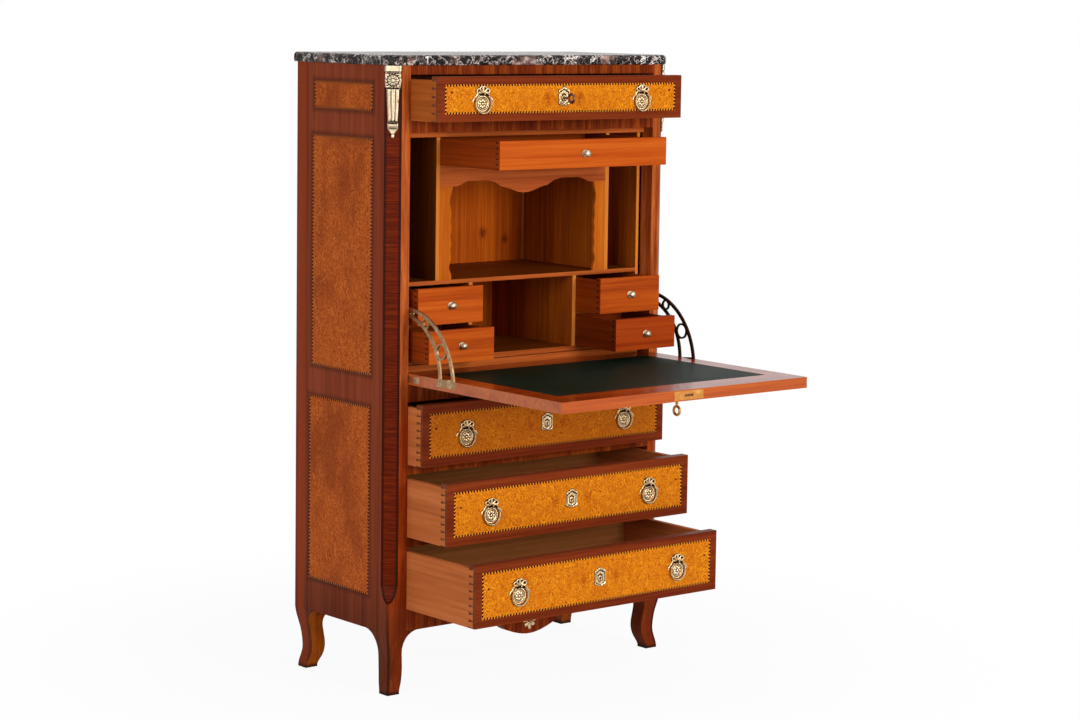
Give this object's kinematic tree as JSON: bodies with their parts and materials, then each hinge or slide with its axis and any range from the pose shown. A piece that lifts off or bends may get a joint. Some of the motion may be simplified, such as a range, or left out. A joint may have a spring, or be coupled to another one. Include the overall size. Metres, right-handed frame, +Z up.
{
  "type": "fall-front writing cabinet",
  "caption": "Veneered writing cabinet on cabriole legs: marble top, fall front with leather lining and quadrant stays, inner fitting, dovetailed drawers with ring pulls.",
  "frame": {"origin": "on the floor under the middle of the case, without the open fall and drawers", "axes": "+X to the right seen from the front, -Y out of the front, +Z up"},
  "size_m": [0.81, 0.8865, 1.4],
  "materials": {
    "case_veneer": "dark red-brown crossbanded veneer, French polished",
    "front_veneer": "golden burl with rope stringing and dark crossbanding, polished",
    "drawer_wood": "plain reddish mahogany, oiled",
    "carcass_wood": "plain secondary wood",
    "fitting_wood": "orange-brown veneer, polished",
    "pale_wood": "pale yellow veneer, polished",
    "marble": "dark grey marble with pale veins, polished",
    "leather": "dark green, smooth",
    "gilt_bronze": "gilt, dark in the recesses",
    "dark_bronze": "aged, satin"
  },
  "bodies": {
    "case": {"marble_top": "marble", "front_post_left": "case_veneer", "front_post_right": "case_veneer", "rear_post_left": "case_veneer", "rear_post_right": "case_veneer", "side_panel_left": "case_veneer", "side_panel_right": "case_veneer", "back_panel": "carcass_wood", "top_board": "carcass_wood", "front_rails": "case_veneer", "dust_boards": "carcass_wood", "drawer_guides": "carcass_wood", "front_apron": "case_veneer", "corner_mounts": "gilt_bronze", "apron_mount": "gilt_bronze", "hinge_pins": "dark_bronze", "fitting_partitions": "fitting_wood", "fitting_boards": "fitting_wood", "bay_pilasters": "pale_wood", "bay_valance": "fitting_wood"},
    "fall": {"fall_panel": "case_veneer", "fall_leather": "leather", "quadrant_stays": "dark_bronze", "hinge_plates": "dark_bronze", "fall_lock": "dark_bronze"},
    "fall_key": {"fall_key": "dark_bronze"},
    "fall_bolt": {"fall_bolt": "dark_bronze"},
    "frieze_drawer": {"frieze_drawer_front": "front_veneer", "frieze_drawer_box": "drawer_wood", "frieze_drawer_mounts": "gilt_bronze"},
    "frieze_ring_left": {"frieze_ring_left": "gilt_bronze"},
    "frieze_ring_right": {"frieze_ring_right": "gilt_bronze"},
    "upper_drawer": {"upper_drawer_front": "front_veneer", "upper_drawer_box": "drawer_wood", "upper_drawer_mounts": "gilt_bronze"},
    "upper_ring_left": {"upper_ring_left": "gilt_bronze"},
    "upper_ring_right": {"upper_ring_right": "gilt_bronze"},
    "middle_drawer": {"middle_drawer_front": "front_veneer", "middle_drawer_box": "drawer_wood", "middle_drawer_mounts": "gilt_bronze"},
    "middle_ring_left": {"middle_ring_left": "gilt_bronze"},
    "middle_ring_right": {"middle_ring_right": "gilt_bronze"},
    "lower_drawer": {"lower_drawer_front": "front_veneer", "lower_drawer_box": "drawer_wood", "lower_drawer_mounts": "gilt_bronze"},
    "lower_ring_left": {"lower_ring_left": "gilt_bronze"},
    "lower_ring_right": {"lower_ring_right": "gilt_bronze"},
    "frieze_key": {"frieze_key": "dark_bronze"},
    "frieze_bolt": {"frieze_bolt": "dark_bronze"},
    "wide_small_drawer": {"wide_small_drawer": "fitting_wood", "wide_knob": "gilt_bronze"},
    "high_left_small_drawer": {"high_left_small_drawer": "fitting_wood", "high_left_knob": "gilt_bronze"},
    "high_right_small_drawer": {"high_right_small_drawer": "fitting_wood", "high_right_knob": "gilt_bronze"},
    "low_left_small_drawer": {"low_left_small_drawer": "fitting_wood", "low_left_knob": "gilt_bronze"},
    "low_right_small_drawer": {"low_right_small_drawer": "fitting_wood", "low_right_knob": "gilt_bronze"}
  },
  "joints": [
    {"name": "fall_hinge", "type": "hinge", "parent": "case", "child": "fall", "pos_m": [0, -0.167, 0.698], "axis": [-1, 0, 0], "range_deg": [0, 90]},
    {"name": "fall_key_turn", "type": "hinge", "parent": "fall", "child": "fall_key", "pos_m": [0, -0.6635, 0.686], "axis": [0, 0, 1], "range_deg": [0, 90]},
    {"name": "fall_bolt_throw", "type": "slide", "parent": "fall", "child": "fall_bolt", "axis": [0, -1, 0], "range_m": [0, 0.005]},
    {"name": "frieze_drawer_slide", "type": "slide", "parent": "case", "child": "frieze_drawer", "axis": [0, -1, 0], "range_m": [-0.096, 0.164]},
    {"name": "frieze_ring_left_swing", "type": "hinge", "parent": "frieze_drawer", "child": "frieze_ring_left", "pos_m": [-0.228, -0.2802, 1.3188], "axis": [-1, 0, 0], "range_deg": [0, 90]},
    {"name": "frieze_ring_right_swing", "type": "hinge", "parent": "frieze_drawer", "child": "frieze_ring_right", "pos_m": [0.228, -0.2802, 1.3188], "axis": [-1, 0, 0], "range_deg": [0, 90]},
    {"name": "upper_drawer_slide", "type": "slide", "parent": "case", "child": "upper_drawer", "axis": [0, -1, 0], "range_m": [-0.053, 0.207]},
    {"name": "upper_ring_left_swing", "type": "hinge", "parent": "upper_drawer", "child": "upper_ring_left", "pos_m": [-0.228, -0.2372, 0.5883], "axis": [-1, 0, 0], "range_deg": [0, 90]},
    {"name": "upper_ring_right_swing", "type": "hinge", "parent": "upper_drawer", "child": "upper_ring_right", "pos_m": [0.228, -0.2372, 0.5883], "axis": [-1, 0, 0], "range_deg": [0, 90]},
    {"name": "middle_drawer_slide", "type": "slide", "parent": "case", "child": "middle_drawer", "axis": [0, -1, 0], "range_m": [-0.143, 0.117]},
    {"name": "middle_ring_left_swing", "type": "hinge", "parent": "middle_drawer", "child": "middle_ring_left", "pos_m": [-0.228, -0.3272, 0.4283], "axis": [-1, 0, 0], "range_deg": [0, 90]},
    {"name": "middle_ring_right_swing", "type": "hinge", "parent": "middle_drawer", "child": "middle_ring_right", "pos_m": [0.228, -0.3272, 0.4283], "axis": [-1, 0, 0], "range_deg": [0, 90]},
    {"name": "lower_drawer_slide", "type": "slide", "parent": "case", "child": "lower_drawer", "axis": [0, -1, 0], "range_m": [-0.244, 0.016]},
    {"name": "lower_ring_left_swing", "type": "hinge", "parent": "lower_drawer", "child": "lower_ring_left", "pos_m": [-0.228, -0.4282, 0.2683], "axis": [-1, 0, 0], "range_deg": [0, 90]},
    {"name": "lower_ring_right_swing", "type": "hinge", "parent": "lower_drawer", "child": "lower_ring_right", "pos_m": [0.228, -0.4282, 0.2683], "axis": [-1, 0, 0], "range_deg": [0, 90]},
    {"name": "frieze_key_turn", "type": "hinge", "parent": "frieze_drawer", "child": "frieze_key", "pos_m": [0, -0.275, 1.3078], "axis": [0, -1, 0], "range_deg": [0, 90]},
    {"name": "frieze_bolt_throw", "type": "slide", "parent": "frieze_drawer", "child": "frieze_bolt", "axis": [0, 0, 1], "range_m": [0, 0.005]},
    {"name": "wide_small_drawer_slide", "type": "slide", "parent": "case", "child": "wide_small_drawer", "axis": [0, 1, 0], "range_m": [0, 0.215]},
    {"name": "high_left_small_drawer_slide", "type": "slide", "parent": "case", "child": "high_left_small_drawer", "axis": [0, 1, 0], "range_m": [0, 0.058]},
    {"name": "high_right_small_drawer_slide", "type": "slide", "parent": "case", "child": "high_right_small_drawer", "axis": [0, 1, 0], "range_m": [0, 0.092]},
    {"name": "low_left_small_drawer_slide", "type": "slide", "parent": "case", "child": "low_left_small_drawer", "axis": [0, 1, 0], "range_m": [0, 0.105]},
    {"name": "low_right_small_drawer_slide", "type": "slide", "parent": "case", "child": "low_right_small_drawer", "axis": [0, 1, 0], "range_m": [0, 0.252]}
  ],
  "couplings": [
    {"joint": "fall_bolt_throw", "follows": "fall_key_turn", "m_per_rad": 0.003183},
    {"joint": "frieze_bolt_throw", "follows": "frieze_key_turn", "m_per_rad": 0.003183},
    {"joint": "wide_small_drawer_slide", "follows": "fall_hinge", "m_per_rad": 0.13687},
    {"joint": "high_left_small_drawer_slide", "follows": "fall_hinge", "m_per_rad": 0.036923},
    {"joint": "high_right_small_drawer_slide", "follows": "fall_hinge", "m_per_rad": 0.058569},
    {"joint": "low_left_small_drawer_slide", "follows": "fall_hinge", "m_per_rad": 0.066845},
    {"joint": "low_right_small_drawer_slide", "follows": "fall_hinge", "m_per_rad": 0.16043}
  ]
}
